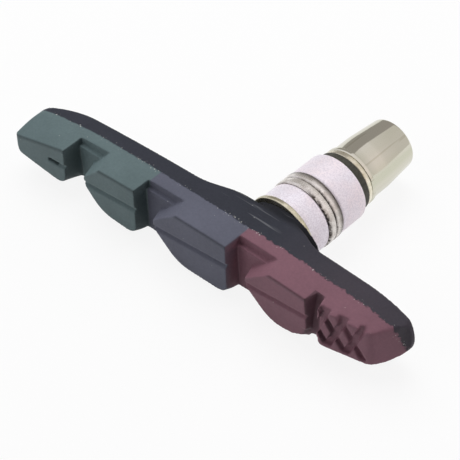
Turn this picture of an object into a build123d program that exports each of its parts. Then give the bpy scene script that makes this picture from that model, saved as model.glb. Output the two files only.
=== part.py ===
"""Bicycle rim brake pad with a threaded stud, its spherical washers and its barrel nut.

Millimetres. X runs along the pad, +Y along the stud away from the braking face, +Z up.
The origin is on the stud's axis, on the seat of the boss where the first washer lies.
"""
import os
from math import atan2, cos, degrees, radians, sqrt, tan
from typing import NamedTuple

from build123d import *

# Pad outline, seen from the braking face
PAD_LEFT = 43.5            # stud axis to the rounded green end
PAD_RIGHT = 28.0           # stud axis to the rounded red end
UPPER_HEIGHT = 4.45        # from the stud's axis to the upper flank at its highest place
CROWN_X = -5.8             # where along the pad that is
FLANK_RADIUS = 370.0       # long arc of the upper flank
LOWER_HEIGHT = 5.05        # the same three for the lower flank
LOWER_CROWN_X = -5.0
LOWER_RADIUS = 280.0
LEFT_BULGE = 0.9           # how far each end bows out past its corners
RIGHT_BULGE = 1.1
RIGHT_LEAN = 0.9           # the lower corner of the red end stands back by this much
END_CORNER_RADIUS = 1.0    # corners of the ends: lower green and upper red one
SOFT_CORNER_RADIUS = 2.6   # upper green and lower red one
CORNER_SHARE = 0.85        # most of an end's half height that a corner may take

# Pad depth, along the stud
SEAT_RISE = 2.35           # boss seat above the back
BACK_DEPTH = 3.1           # black back, at the stud
BOUNDARY_SLOPE = 0.02      # the back grows thicker towards the red end
BOUNDARY_RUN_LEFT = 30.0   # from here its seam bends towards the face, to the green end
BOUNDARY_ARC_RADIUS = 90.0
RUBBER_DEPTH = 5.17        # coloured rubber, at the stud
BACK_RUN_LEFT = 34.0       # flat stretch of the back, each way from the stud
BACK_RUN_RIGHT = 18.5
BACK_ARC_LEFT = 16.5       # radius by which the back falls away at each end
BACK_ARC_RIGHT = 34.0
RAMP_START = 16.6          # the braking face falls away from here to the red end
RAMP_LENGTH = 8.0
RAMP_FALL = 1.3
NOSE_FALL = 4.9            # steep nose beyond the ramp, down to a ledge of the black back
NOSE_LENGTH = 2.6
NOSE_ROUNDING = 0.9        # from the corner of ramp and nose to each end of its rounding
TOE_RADIUS = 0.8           # rounded front edge of the green end
TOE_FACET_DROP = 1.9       # the upper flank of the green end leans down to its face by this much
HEEL_FACET_RISE = 0.85     # the lower flank of the end block leans up to its face by this much at the slit
HEEL_END_RISE = 0.45       # and by this much at the end of the ramp

# Hump of the back and the oval boss that carries the washers on it
HUMP_RISE = 1.6
HUMP_LEFT_FOOT = -14.0     # places along the pad where the hump starts and is full
HUMP_LEFT_TOP = -5.0
HUMP_RIGHT_TOP = 4.0
HUMP_RIGHT_FOOT = 10.0
BOSS_X = 0.9               # middle of the washers' seat along the pad
BOSS_FOOT_LENGTH = 12.4
BOSS_FOOT_HEIGHT = 8.8
BOSS_SEAT_LENGTH = 13.8
BOSS_SEAT_HEIGHT = 10.4
BOSS_FOOT_SINK = 0.3       # the foot starts this far inside the hump

# Notches of the braking face: straight wall, then an arrow-headed block
FIRST_WALL_X = -33.0
SECOND_WALL_X = -18.65
THIRD_WALL_X = -0.85
FIRST_REACH = 4.0          # from the wall to the arrow's tip
REACH = 3.6
FIRST_HEAD = 3.3           # from the tip to the arrow's shoulders
HEAD = 4.65
FIRST_DEPTH = 3.95         # at the flanks
DEPTH = 3.25
TIP_HALF_HEIGHT = 0.7
SHOULDER_ROUNDING = 2.2    # from the arrow's lower shoulder to each end of its rounding
PROW_DRAFT = 18.0          # degrees, the arrow head widens towards its root
CORE_SHELF = 0.7           # the middle of a notch is this much shallower
CORE_DROP = 1.35           # and starts this far below the flank
WALL_CORNER_RADIUS = 2.1   # where a notch's straight wall meets the lower flank
FIRST_SKEW = 2.6           # the foot of that wall runs on by this much towards the lower flank
SKEW = 1.6
SLIT_WALL_X = 13.9
SLIT_WIDTH = 2.4
SLIT_DEPTH = 2.3           # at the upper flank
SLIT_FOOT_DEPTH = 0.8      # at the lower flank
SLIT_DRAFT = 14.0


class Notch(NamedTuple):
    """Places of the wall, the arrow's tip and its shoulders, depth at the flanks, skew of the wall."""
    wall: float
    tip: float
    shoulder: float
    depth: float
    skew: float


def notch_at(wall, reach, head, depth, skew):
    """A notch from its wall's place and its own lengths."""
    return Notch(wall, wall + reach, wall + reach + head, depth, skew)


NOTCHES = (
    notch_at(FIRST_WALL_X, FIRST_REACH, FIRST_HEAD, FIRST_DEPTH, FIRST_SKEW),
    notch_at(SECOND_WALL_X, REACH, HEAD, DEPTH, SKEW),
    notch_at(THIRD_WALL_X, REACH, HEAD, DEPTH, SKEW),
)

# Water groove along the middle of the blocks
GROOVE_WIDTH = 1.0
GROOVE_DEPTH = 0.5
GROOVE_LEAN = 4.5          # degrees, each stretch climbs a little towards the red end
GROOVE_START = 3.4         # length of the closed groove in the first block
POCKET_LENGTH = 1.9        # its narrow deep start
POCKET_WIDTH = 0.55
POCKET_DEPTH = 0.9

# Crossed grooves of the end block
HATCH_START = 0.5          # first crossing, ahead of the ramp
HATCH_PITCH = 2.9
HATCH_COUNT = 3
HATCH_ANGLES = (23.0, -31.0)   # degrees from upright, of the two directions
HATCH_MARGIN = 0.75        # the grooves end this far from the lower flank
HATCH_WIDTH = 0.95
HATCH_DEPTH = 0.9

# Plate and stud
PLATE_THICKNESS = 1.2
PLATE_COVER = 1.0          # black rubber behind the plate
PLATE_MARGIN = 6.5         # from the plate to each end of the pad
PLATE_SIDE_MARGIN = 1.3    # from the plate to the flanks
PLATE_CORNER_RADIUS = 3.0
STUD_DIAMETER = 6.0
STUD_TIP_GAP = 0.6         # from the stud's tip to the floor of the nut's socket
STUD_TIP_CHAMFER = 0.6
RIVET_DIAMETER = 4.0
COLLAR_DIAMETER = 8.4

# Washers, in order from the pad
WASHER_BORE = 6.5
FLAT_WASHER_DIAMETER = 11.7
FLAT_WASHER_THICKNESS = 0.75
CONVEX_DIAMETER = 11.1
CONVEX_BORE = 6.6
SPHERE_RADIUS = 8.5        # seat of the convex and cup washers
SEAT_GAP = 0.05
THIN_CONVEX_BODY = 3.55    # cylinder below the spherical face
THICK_CONVEX_BODY = 4.85
CUP_DIAMETER = 11.4
CUP_BORE = 8.0
CUP_WEB = 0.55             # least thickness of a cup, at its bore
RIM = 0.25                 # bevelled edges of cups and convex washers
SPACER_DIAMETER = 9.9
SPACER_THICKNESS = 1.5
SEAT_WASHER_DIAMETER = 9.6
SEAT_WASHER_THICKNESS = 0.9

# Nut
THREAD_CLEARANCE = 0.05
NUT_LENGTH = 10.1
FLANGE_DIAMETER = 9.7
FLANGE_THICKNESS = 0.7
FLANGE_EDGE = 0.25
BARREL_DIAMETER = 9.2
BARREL_STRAIGHT = 3.6      # cylinder above the flange, before the taper
NUT_END_DIAMETER = 8.2
NUT_END_CHAMFER = 0.75
SOCKET_FLATS = 5.0
SOCKET_DEPTH = 2.6

# Margin by which cutters stand proud of what they cut
PROUD = 1.0
CUTTER_REACH = LOWER_HEIGHT + PROUD

# Places along the stud
BACK_Y = -SEAT_RISE
HUMP_Y = BACK_Y + HUMP_RISE
BOUNDARY_Y = BACK_Y - BACK_DEPTH
FACE_Y = BOUNDARY_Y - RUBBER_DEPTH
PLATE_BACK_Y = BACK_Y - PLATE_COVER
PLATE_FRONT_Y = PLATE_BACK_Y - PLATE_THICKNESS
FLAT_WASHER_TOP = FLAT_WASHER_THICKNESS
THIN_CONVEX_EDGE = FLAT_WASHER_TOP + THIN_CONVEX_BODY


def rise(radius, sphere):
    """Height of a sphere above its centre at a distance from its axis."""
    return sqrt(sphere ** 2 - radius ** 2)


CUP_THICKNESS = (
    rise(CUP_BORE / 2, SPHERE_RADIUS + SEAT_GAP) - rise(CONVEX_DIAMETER / 2, SPHERE_RADIUS) + CUP_WEB
)
CUP_MEETING = THIN_CONVEX_EDGE + CUP_THICKNESS
THICK_CONVEX_EDGE = CUP_MEETING + CUP_THICKNESS
SPACER_Y = THICK_CONVEX_EDGE + THICK_CONVEX_BODY
SEAT_WASHER_Y = SPACER_Y + SPACER_THICKNESS
NUT_Y = SEAT_WASHER_Y + SEAT_WASHER_THICKNESS
STUD_TOP = NUT_Y + NUT_LENGTH - SOCKET_DEPTH - STUD_TIP_GAP


def front_plane(y):
    """Plane across the stud at a place along it, drawn in X and Z."""
    return Plane(origin=(0, y, 0), x_dir=(1, 0, 0), z_dir=(0, -1, 0))


def crown(x):
    """Height of the upper flank at a place along the pad."""
    return UPPER_HEIGHT - FLANK_RADIUS + rise(x - CROWN_X, FLANK_RADIUS)


def keel(x):
    """Depth of the lower flank below the stud's axis at a place along the pad."""
    return LOWER_HEIGHT - LOWER_RADIUS + rise(x - LOWER_CROWN_X, LOWER_RADIUS)


def turned(*profile):
    """Solid turned about the stud's axis from profile lines in radius and place along the stud."""
    return revolve(make_face(profile), Axis.Y)


def front_outline():
    """The pad seen from the braking face: two long arcs and two bowed ends."""
    left = -PAD_LEFT + LEFT_BULGE
    right = PAD_RIGHT - RIGHT_BULGE
    lower = right - RIGHT_LEAN
    upper_left, upper_right = (left, crown(left)), (right, crown(right))
    lower_left, lower_right = (left, -keel(left)), (lower, -keel(lower))
    outline = make_face([
        ThreePointArc(upper_left, (CROWN_X, UPPER_HEIGHT), upper_right),
        ThreePointArc(upper_right, (PAD_RIGHT, 0), lower_right),
        ThreePointArc(lower_right, (LOWER_CROWN_X, -LOWER_HEIGHT), lower_left),
        ThreePointArc(lower_left, (-PAD_LEFT, 0), upper_left),
    ])
    for corner, radius in (
        (upper_left, SOFT_CORNER_RADIUS), (lower_right, SOFT_CORNER_RADIUS),
        (lower_left, END_CORNER_RADIUS), (upper_right, END_CORNER_RADIUS),
    ):
        room = CORNER_SHARE * abs(corner[1])
        outline = fillet(outline.vertices().sort_by_distance(corner)[0], min(radius, room))
    return outline


def plan_outline():
    """The pad seen along Z: flat face with a ramp, and a back that falls away at its ends."""
    left = -PAD_LEFT
    right = PAD_RIGHT + PROUD
    ramp_end = (right, FACE_Y + (right - RAMP_START) * RAMP_FALL / RAMP_LENGTH)
    back_right = (BACK_RUN_RIGHT, BACK_Y)
    back_left = (-BACK_RUN_LEFT, BACK_Y)

    def fall(run, radius):
        return BACK_Y - radius + rise(run, radius)

    right_drop = (right, fall(right - BACK_RUN_RIGHT, BACK_ARC_RIGHT))
    right_mid = (right + BACK_RUN_RIGHT) / 2
    left_drop = (left, fall(-left - BACK_RUN_LEFT, BACK_ARC_LEFT))
    left_mid = (left - BACK_RUN_LEFT) / 2
    toe_y = FACE_Y + TOE_RADIUS
    toe_x = left + TOE_RADIUS
    toe_mid = (toe_x - TOE_RADIUS * sqrt(0.5), toe_y - TOE_RADIUS * sqrt(0.5))
    return make_face([
        Line(left_drop, (left, toe_y)),
        ThreePointArc((left, toe_y), toe_mid, (toe_x, FACE_Y)),
        Polyline((toe_x, FACE_Y), (RAMP_START, FACE_Y), ramp_end, right_drop),
        ThreePointArc(right_drop, (right_mid, fall(right_mid - BACK_RUN_RIGHT, BACK_ARC_RIGHT)), back_right),
        Line(back_right, (HUMP_RIGHT_FOOT, BACK_Y)),
        Spline((HUMP_RIGHT_FOOT, BACK_Y), (HUMP_RIGHT_TOP, HUMP_Y), tangents=[(-1, 0), (-1, 0)]),
        Line((HUMP_RIGHT_TOP, HUMP_Y), (HUMP_LEFT_TOP, HUMP_Y)),
        Spline((HUMP_LEFT_TOP, HUMP_Y), (HUMP_LEFT_FOOT, BACK_Y), tangents=[(-1, 0), (-1, 0)]),
        Line((HUMP_LEFT_FOOT, BACK_Y), back_left),
        ThreePointArc(back_left, (left_mid, fall(-left_mid - BACK_RUN_LEFT, BACK_ARC_LEFT)), left_drop),
    ])


def pad_envelope():
    """Outer form of the moulded pad before its notches, without the boss."""
    deep = extrude(front_plane(0) * front_outline(), PROUD - FACE_Y)
    tall = extrude(plan_outline(), CUTTER_REACH, both=True)
    return (deep & tall) - [nose_cutter(), toe_cutter(), heel_cutter()]


def nose_cutter():
    """What the steep nose takes off the ramp at the red end."""
    corner = Vector(RAMP_START + RAMP_LENGTH, FACE_Y + RAMP_FALL)
    foot = corner + Vector(NOSE_LENGTH, NOSE_FALL)
    before = corner - Vector(RAMP_LENGTH, RAMP_FALL).normalized() * NOSE_ROUNDING
    after = corner + (foot - corner).normalized() * NOSE_ROUNDING
    rounding = Bezier(before, corner, after)
    beyond = PAD_RIGHT + PROUD
    rest = Polyline(after, foot, (beyond, foot.Y), (beyond, FACE_Y), (before.X, FACE_Y), before)
    return extrude(make_face([rounding, rest]), CUTTER_REACH, both=True)


def toe_cutter():
    """What the leaning facet takes off the upper flank of the first block, from its wall to the green end."""
    wall, end = NOTCHES[0].wall, -PAD_LEFT
    seam = BOUNDARY_Y + BOUNDARY_RUN_LEFT * BOUNDARY_SLOPE
    near = Vector(wall, FACE_Y, crown(wall))
    far = Vector(end, FACE_Y, crown(end) - TOE_FACET_DROP)
    back = Vector(end, seam, crown(end))
    return facet_cutter(near, far, back) & between(end - PROUD, wall)


def heel_cutter():
    """What the leaning facet takes off the lower flank of the end block."""
    start, end = SLIT_WALL_X, RAMP_START + RAMP_LENGTH
    near = Vector(start, FACE_Y, HEEL_FACET_RISE - keel(start))
    far = Vector(end, FACE_Y, HEEL_END_RISE - keel(end))
    back = Vector(end, BOUNDARY_Y - end * BOUNDARY_SLOPE, -keel(end))
    return facet_cutter(near, far, back) & between(start, PAD_RIGHT + PROUD)


def facet_cutter(near, far, back):
    """All space outside the plane through three corners of a flank, as far back as the last of them."""
    facet = Plane(origin=near, x_dir=near - far, z_dir=(near - far).cross(back - far))
    size = 4 * PAD_LEFT
    outside = facet * Pos(0, 0, size / 2) * Box(size, size, size)
    return outside & Pos(0, back.Y - size / 2, 0) * Box(size, size, size)


def boss():
    """Oval boss that flares from the hump up to the washers' seat."""
    foot = Pos(BOSS_X, 0) * Ellipse(BOSS_FOOT_LENGTH / 2, BOSS_FOOT_HEIGHT / 2)
    seat = Pos(BOSS_X, 0) * Ellipse(BOSS_SEAT_LENGTH / 2, BOSS_SEAT_HEIGHT / 2)
    return loft([front_plane(HUMP_Y - BOSS_FOOT_SINK) * foot, front_plane(0) * seat])


def wall_corner(x):
    """Start, corner and end of the rounding where a straight wall meets the lower flank."""
    corner = Vector(x, -keel(x - WALL_CORNER_RADIUS))
    return corner - Vector(WALL_CORNER_RADIUS, 0), corner, corner + Vector(0, WALL_CORNER_RADIUS)


def arrow_section(notch, y):
    """Opening of a notch at a depth: from its wall, round at the lower flank, to the next arrow head."""
    shift = (FACE_Y - y) * tan(radians(PROW_DRAFT))
    skew = notch.skew * (y - FACE_Y) / notch.depth
    tip = notch.tip + shift
    upper = (notch.shoulder + shift, crown(notch.shoulder))
    upper_slope = (notch.shoulder - notch.tip) / (upper[1] - TIP_HALF_HEIGHT)
    upper_end = (upper[0] + upper_slope * (CUTTER_REACH - upper[1]), CUTTER_REACH)
    shoulder = Vector(notch.shoulder + shift, -keel(notch.shoulder))
    bow = Vector(tip, -TIP_HALF_HEIGHT)
    before = shoulder + (bow - shoulder).normalized() * SHOULDER_ROUNDING
    climb = keel(notch.shoulder) - keel(notch.shoulder + SHOULDER_ROUNDING)
    after = shoulder + Vector(SHOULDER_ROUNDING, climb)
    flank_end, corner, wall_end = wall_corner(notch.wall + skew)
    return front_plane(y) * make_face([
        Polyline(wall_end, (notch.wall, crown(notch.wall)), (notch.wall, CUTTER_REACH), upper_end),
        Polyline(upper_end, (tip, TIP_HALF_HEIGHT), bow, before),
        Bezier(before, shoulder, after),
        Polyline(after, (after.X, -CUTTER_REACH), (flank_end.X, -CUTTER_REACH), flank_end),
        Bezier(flank_end, corner, wall_end),
    ])


def notch_cutter(notch):
    """What a notch takes away: deep at the flanks, shallower over the core in the middle."""
    floor = FACE_Y + notch.depth
    opening = loft([arrow_section(notch, floor), arrow_section(notch, FACE_Y - PROUD)])
    middle = (notch.wall + notch.shoulder) / 2
    core_top = crown(middle) - CORE_DROP
    core = Pos(middle, floor, core_top - CUTTER_REACH) * Box(PAD_LEFT, 2 * CORE_SHELF, 2 * CUTTER_REACH)
    return opening - core


def slit_cutter():
    """Narrow drafted slit ahead of the hatched end block, shallower towards the lower flank."""
    floor = FACE_Y + SLIT_DEPTH
    lean = (SLIT_DEPTH + PROUD) * tan(radians(SLIT_DRAFT))
    mouth = SLIT_WALL_X + SLIT_WIDTH
    flare = PROUD * tan(radians(SLIT_DRAFT))
    section = make_face(Polyline(
        (SLIT_WALL_X - flare, FACE_Y - PROUD), (mouth + flare, FACE_Y - PROUD),
        (mouth + flare - lean, floor), (SLIT_WALL_X - flare + lean, floor), close=True,
    ))
    flank_end, corner, wall_end = wall_corner(SLIT_WALL_X)
    inside = SLIT_WALL_X + SLIT_WIDTH / 4
    around = Polyline(
        wall_end, (inside, wall_end.Y), (inside, -CUTTER_REACH), (flank_end.X, -CUTTER_REACH), flank_end,
    )
    rounding = front_plane(floor) * make_face([Bezier(flank_end, corner, wall_end), around])
    slit = extrude(section, 2 * CUTTER_REACH, both=True) + extrude(rounding, SLIT_DEPTH + PROUD)
    top = crown(SLIT_WALL_X)
    tilt = degrees(atan2(SLIT_DEPTH - SLIT_FOOT_DEPTH, top + keel(SLIT_WALL_X)))
    return Pos(0, floor, top) * Rot(-tilt, 0, 0) * Pos(0, -floor, -top) * slit


def leaning(start, end, section):
    """Slightly climbing groove of the face between two places, with a section in depth and height."""
    length = (end - start) / cos(radians(GROOVE_LEAN))
    middle = (start + end) / 2
    groove = extrude(Plane.YZ * section, length / 2, both=True)
    return Pos(middle, FACE_Y, 0) * Rot(0, -GROOVE_LEAN, 0) * groove


def groove_cutters():
    """Water grooves: a short closed one with a deep start, then one through each block after the first."""
    starts = [NOTCHES[0].wall - GROOVE_START] + [notch.tip - PROUD for notch in NOTCHES]
    ends = [notch.wall for notch in NOTCHES] + [SLIT_WALL_X]
    flare = GROOVE_WIDTH / 2 / GROOVE_DEPTH * (GROOVE_DEPTH + PROUD)
    vee = make_face(Polyline((GROOVE_DEPTH, 0), (-PROUD, flare), (-PROUD, -flare), close=True))
    grooves = [leaning(start, end + PROUD, vee) for start, end in zip(starts, ends)]
    pocket = Pos(starts[0] + POCKET_LENGTH / 2, FACE_Y, -POCKET_LENGTH * tan(radians(GROOVE_LEAN)))
    return [*grooves, pocket * Box(POCKET_LENGTH, 2 * POCKET_DEPTH, POCKET_WIDTH)]


def hatch_cutters():
    """Crossed grooves on the ramp of the end block."""
    ramp_angle = degrees(atan2(RAMP_FALL, RAMP_LENGTH))
    end = RAMP_START + RAMP_LENGTH
    middle = CUTTER_REACH - keel(end) + HATCH_MARGIN
    room = Pos(end, FACE_Y, middle) * Box(PAD_LEFT, PAD_LEFT, 2 * CUTTER_REACH)
    room &= between(SLIT_WALL_X + SLIT_WIDTH / 2, PAD_RIGHT + PROUD)
    cutters = []
    for index in range(HATCH_COUNT):
        x = RAMP_START - HATCH_START + index * HATCH_PITCH
        y = FACE_Y + RAMP_FALL * (x - RAMP_START) / RAMP_LENGTH
        for angle in HATCH_ANGLES:
            bar = Rot(0, angle, 0) * Box(HATCH_WIDTH, 2 * HATCH_DEPTH, 2 * CUTTER_REACH)
            cutters.append(Pos(x, y, 0) * Rot(0, 0, ramp_angle) * bar & room)
    return cutters


def boundary_cutter():
    """Everything behind the seam between the coloured rubber and the black back."""
    right = (2 * PAD_RIGHT, BOUNDARY_Y - 2 * PAD_RIGHT * BOUNDARY_SLOPE)
    bend = (-BOUNDARY_RUN_LEFT, BOUNDARY_Y + BOUNDARY_RUN_LEFT * BOUNDARY_SLOPE)
    reach = degrees((PAD_LEFT - BOUNDARY_RUN_LEFT + PROUD) / BOUNDARY_ARC_RADIUS)
    arc = JernArc(bend, (-1, BOUNDARY_SLOPE), BOUNDARY_ARC_RADIUS, reach)
    behind = Polyline(arc @ 1, (-2 * PAD_LEFT, PAD_LEFT), (2 * PAD_RIGHT, PAD_LEFT), right)
    return extrude(make_face([Line(right, bend), arc, behind]), CUTTER_REACH, both=True)


def between(start, end):
    """Slab of space between two places along the pad."""
    size = 4 * PAD_LEFT
    return Pos((start + end) / 2, 0, 0) * Box(end - start, size, size)


def coloured_block(envelope):
    """The coloured rubber of all three compounds, with its notches, grooves and hatching."""
    block = envelope - boundary_cutter()
    cutters = [notch_cutter(notch) for notch in NOTCHES] + [slit_cutter()]
    return block - cutters - groove_cutters() - hatch_cutters()


def backing_plate():
    """Steel plate that lies hidden in the black back, with the rivet's hole."""
    left = -PAD_LEFT + PLATE_MARGIN
    right = PAD_RIGHT - PLATE_MARGIN
    outline = offset(front_outline(), -PLATE_SIDE_MARGIN)
    blank = RectangleRounded(right - left, 2 * LOWER_HEIGHT, PLATE_CORNER_RADIUS)
    outline &= Pos((left + right) / 2, 0) * blank
    return extrude(front_plane(PLATE_BACK_Y) * (outline - Circle(RIVET_DIAMETER / 2)), PLATE_THICKNESS)


def threaded_stud():
    """Stud with a collar behind the plate and a rivet through it, without the turns of its thread."""
    stud, rivet, collar = STUD_DIAMETER / 2, RIVET_DIAMETER / 2, COLLAR_DIAMETER / 2
    collar_top = PLATE_BACK_Y + PLATE_COVER
    return turned(Polyline(
        (0, PLATE_FRONT_Y), (rivet, PLATE_FRONT_Y), (rivet, PLATE_BACK_Y), (collar, PLATE_BACK_Y),
        (collar, collar_top), (stud, collar_top), (stud, STUD_TOP - STUD_TIP_CHAMFER),
        (stud - STUD_TIP_CHAMFER, STUD_TOP), (0, STUD_TOP), close=True,
    ))


def flat_washer(y, thickness, diameter):
    """Plain washer."""
    return extrude(front_plane(y + thickness) * (Circle(diameter / 2) - Circle(WASHER_BORE / 2)), thickness)


def spherical_arc(inner, outer, sphere, centre, side):
    """Arc of a spherical face between two radii; side +1 bulges towards the nut."""
    middle = (inner + outer) / 2
    return ThreePointArc(*[(r, centre + side * rise(r, sphere)) for r in (outer, middle, inner)])


def convex_washer(edge, base, side):
    """Cylinder whose one face is part of a sphere, which would meet its side at the edge."""
    outer, bore = CONVEX_DIAMETER / 2, CONVEX_BORE / 2
    centre = edge - side * rise(outer, SPHERE_RADIUS)
    dome = spherical_arc(bore, outer - RIM, SPHERE_RADIUS, centre, side)
    body = Polyline(
        dome @ 1, (bore, base), (outer - RIM, base), (outer, base + side * RIM),
        (outer, edge - side * RIM), dome @ 0,
    )
    return turned(dome, body)


def cup_washer(edge, side):
    """Washer with a flat face against its twin and a hollow spherical seat for the convex washer."""
    outer, bore = CUP_DIAMETER / 2, CUP_BORE / 2
    sphere = SPHERE_RADIUS + SEAT_GAP
    centre = edge - side * rise(CONVEX_DIAMETER / 2, SPHERE_RADIUS)
    seat = spherical_arc(bore, outer - RIM, sphere, centre, side)
    rim = centre + side * (rise(outer - RIM, sphere) + RIM)
    body = Polyline(
        seat @ 1, (bore, CUP_MEETING), (outer - RIM, CUP_MEETING), (outer, CUP_MEETING - side * RIM),
        (outer, rim), seat @ 0,
    )
    return turned(seat, body)


def barrel_nut():
    """Flanged nut with a tapered end, a through thread and a hexagon socket at its far end."""
    bore = STUD_DIAMETER / 2 + THREAD_CLEARANCE
    flange, barrel, tip = FLANGE_DIAMETER / 2, BARREL_DIAMETER / 2, NUT_END_DIAMETER / 2
    top = NUT_Y + FLANGE_THICKNESS
    end = NUT_Y + NUT_LENGTH
    skirt = turned(Polyline(
        (0, NUT_Y), (flange, NUT_Y), (flange, top - FLANGE_EDGE), (flange - FLANGE_EDGE, top), (0, top),
        close=True,
    ))
    body = turned(Polyline(
        (0, NUT_Y), (barrel, NUT_Y), (barrel, top + BARREL_STRAIGHT), (tip, end - NUT_END_CHAMFER),
        (tip - NUT_END_CHAMFER, end), (0, end), close=True,
    ))
    threaded = extrude(front_plane(end - SOCKET_DEPTH) * Circle(bore), NUT_LENGTH)
    socket = RegularPolygon(SOCKET_FLATS / 2, 6, major_radius=False)
    return skirt + body - threaded - extrude(front_plane(end) * socket, NUT_LENGTH)


def build():
    """All pieces by name."""
    envelope = pad_envelope()
    plate = backing_plate()
    stud = threaded_stud()
    block = coloured_block(envelope)
    seam_one, seam_two = NOTCHES[1].wall, NOTCHES[2].wall
    return {
        "green_compound": block & between(-PAD_LEFT - PROUD, seam_one),
        "grey_compound": block & between(seam_one, seam_two),
        "red_compound": block & between(seam_two, PAD_RIGHT + PROUD),
        "backing_compound": (envelope & boundary_cutter()) + boss() - plate - stud,
        "backing_plate": plate,
        "threaded_stud": stud,
        "pad_side_flat_washer": flat_washer(0, FLAT_WASHER_THICKNESS, FLAT_WASHER_DIAMETER),
        "pad_side_convex_washer": convex_washer(THIN_CONVEX_EDGE, FLAT_WASHER_TOP, 1),
        "pad_side_cup_washer": cup_washer(THIN_CONVEX_EDGE, 1),
        "nut_side_cup_washer": cup_washer(THICK_CONVEX_EDGE, -1),
        "nut_side_convex_washer": convex_washer(THICK_CONVEX_EDGE, SPACER_Y, -1),
        "dark_spacer_washer": flat_washer(SPACER_Y, SPACER_THICKNESS, SPACER_DIAMETER),
        "nut_seat_washer": flat_washer(SEAT_WASHER_Y, SEAT_WASHER_THICKNESS, SEAT_WASHER_DIAMETER),
        "barrel_nut": barrel_nut(),
    }


os.makedirs("parts", exist_ok=True)
for name, piece in build().items():
    export_step(piece, f"parts/{name}.step")
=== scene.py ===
"""Looks of a bicycle rim brake pad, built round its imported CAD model, in metres."""
import math

import bmesh
import bpy
from mathutils import Euler, Matrix, Vector


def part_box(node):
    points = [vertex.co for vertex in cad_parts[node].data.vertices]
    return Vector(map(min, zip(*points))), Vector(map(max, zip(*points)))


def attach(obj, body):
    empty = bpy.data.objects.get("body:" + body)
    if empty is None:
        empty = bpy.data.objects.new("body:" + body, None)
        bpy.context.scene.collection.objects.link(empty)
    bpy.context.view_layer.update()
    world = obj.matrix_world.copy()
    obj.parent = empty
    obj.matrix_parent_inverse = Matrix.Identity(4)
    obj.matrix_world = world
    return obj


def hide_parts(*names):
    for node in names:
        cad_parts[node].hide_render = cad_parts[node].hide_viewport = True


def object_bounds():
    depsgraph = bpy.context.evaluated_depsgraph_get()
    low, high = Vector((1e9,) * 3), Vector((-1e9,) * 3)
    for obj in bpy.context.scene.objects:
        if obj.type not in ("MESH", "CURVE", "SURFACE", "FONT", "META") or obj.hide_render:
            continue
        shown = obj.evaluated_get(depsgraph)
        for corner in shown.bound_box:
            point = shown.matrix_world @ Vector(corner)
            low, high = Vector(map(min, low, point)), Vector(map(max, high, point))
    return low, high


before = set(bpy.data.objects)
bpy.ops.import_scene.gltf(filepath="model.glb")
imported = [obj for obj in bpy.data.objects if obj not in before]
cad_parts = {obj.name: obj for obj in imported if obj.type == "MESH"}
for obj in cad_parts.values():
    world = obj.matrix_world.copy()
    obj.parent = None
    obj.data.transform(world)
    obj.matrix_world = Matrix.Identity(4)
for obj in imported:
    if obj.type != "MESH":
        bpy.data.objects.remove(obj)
CAD_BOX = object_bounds()

MM = 0.001
SHARP_ANGLE = 35           # degrees; flatter edges are shaded smooth

# Camera, at the photograph's angle: place in mm, angles in degrees
CAMERA_PLACE = (178.66, -193.99, 258.80)
CAMERA_AZIMUTH = 44.195
CAMERA_ELEVATION = 44.369
CAMERA_ROLL = 2.521
CAMERA_LENS = 202.5
CAMERA_SENSOR = 36
CAMERA_CLIP = 0.01         # metres

# Lamps: name, place and size in metres, power in watts, colour
LAMPS = (
    ("key", (-0.2, 0.16, 0.46), 0.5, 2.6, (1.0, 1.0, 1.0)),
    ("front", (-0.2, -0.35, 0.15), 0.35, 0.45, (1.0, 0.97, 0.97)),
    ("fill", (0.3, 0.3, 0.12), 0.3, 0.8, (1.0, 0.93, 0.94)),
)

# Room that metal reflects, the sky that lights the object, and the floor
WHITE = (1.0, 1.0, 1.0, 1.0)
COOL_WALL = (0.95, 0.94, 1.0, 1.0)
WARM_WALL = (1.0, 0.93, 0.92, 1.0)
BACK_WALL = (0.72, 0.7, 0.68, 1.0)
SCREEN = (0.4, 0.38, 0.37, 1.0)
SCREEN_SIDE = (-0.91, -0.415)   # direction of the screen, along x and z
SCREEN_BLUR = 0.02
SCREEN_EDGE = (0.28, 0.34)      # where it starts and is full, along y
BACK_EDGE = (0.5, 0.7)          # the same for the back wall
WALL_TURN = 0.7                 # the cool wall turns warm between two such places, along x
SKY = (0.93, 0.96, 1.0, 1.0)
SKY_STRENGTH = 0.13
FLOOR_COLOUR = (0.9, 0.9, 0.9, 1.0)
FLOOR_REACH = 3.0          # metres
FLOOR_GAP = 0.02           # mm under the object
FLOOR_WHITE = 0.88         # share of plain white that the camera and metal see in it

# Turned pieces: fineness, and the sizes in mm that their boxes don't give
SEGMENTS = 120             # round the stud's axis; a multiple of six, for the nut's socket
CORNER_STEPS = 4
CORNER_POINTS = CORNER_STEPS + 1
SIDE_SHARE = 0.45          # of a side that a rounded corner may use
END_STEPS = 8              # of the nut's rounded end
END_POINTS = END_STEPS + 1
ARC_STEPS = 14             # of a spherical face
AXIS_RADIUS = 0.01         # in place of zero, so that no face shrinks to a line
WASHER_BORE = 6.5
WASHER_EDGE = 0.2
CONVEX_BORE = 6.6
CONVEX_EDGE = 0.3
BORE_EDGE = 0.1
DOME_START = 0.35          # from the outer edge
DOME_LEAN = (1.5, 1.2)     # run and rise of the dome beside its edge
CUP_BORE = 8.0
CUP_EDGE = 0.4
CUP_RIM = 0.25
CUP_RIM_EDGE = 0.05
SPHERE_RADIUS = 8.5
SEAT_GAP = 0.05
NUT_BORE = 6.1
NUT_EDGE = 0.25
FLANGE_THICKNESS = 0.7
FLANGE_FOOT = 0.8          # length of the barrel beside the flange's inner corner
BARREL_DIAMETER = 9.2
BARREL_STRAIGHT = 3.6
BARREL_RINGS = (0.4, 0.8, 1.0)   # shares of the straight length
NUT_END_DIAMETER = 8.2
NUT_END_RADIUS = 1.1
SOCKET_FLATS = 5.0
SOCKET_DEPTH = 2.6
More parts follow.
